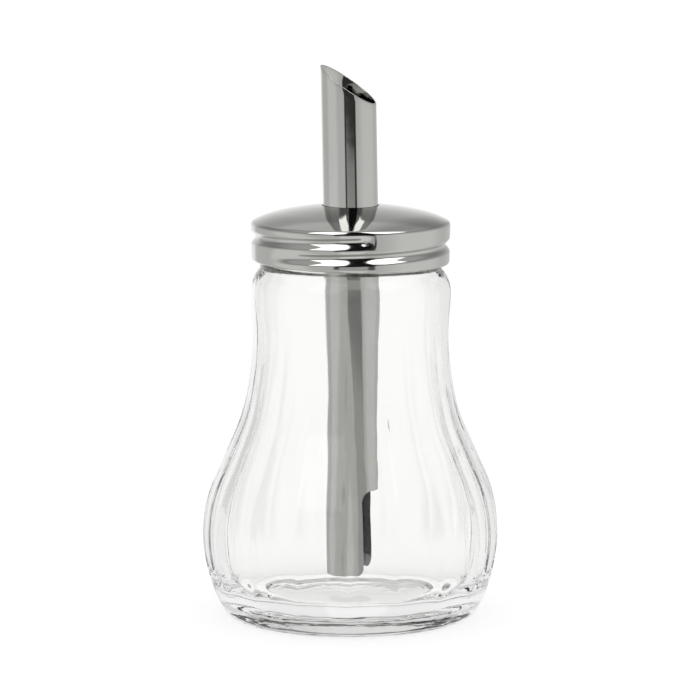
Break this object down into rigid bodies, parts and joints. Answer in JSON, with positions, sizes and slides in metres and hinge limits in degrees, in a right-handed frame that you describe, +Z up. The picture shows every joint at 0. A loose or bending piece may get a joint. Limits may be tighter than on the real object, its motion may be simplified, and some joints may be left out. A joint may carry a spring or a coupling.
{
  "type": "sugar dispenser",
  "caption": "Pear-shaped fluted glass jar with a domed steel screw lid and a steel dosing tube through it, cut slanting at the top.",
  "frame": {"origin": "middle of the jar's underside, on the surface it stands on", "axes": "+Z up along the jar's axis; -Y is the front; the slanting mouth of the tube is lowest towards +X"},
  "size_m": [0.0828, 0.0838, 0.1549],
  "materials": {
    "glass": "clear, polished",
    "lid_steel": "polished stainless steel",
    "tube_steel": "polished stainless steel"
  },
  "bodies": {
    "root": {"jar": "glass", "lid": "lid_steel", "tube": "tube_steel"}
  },
  "joints": []
}
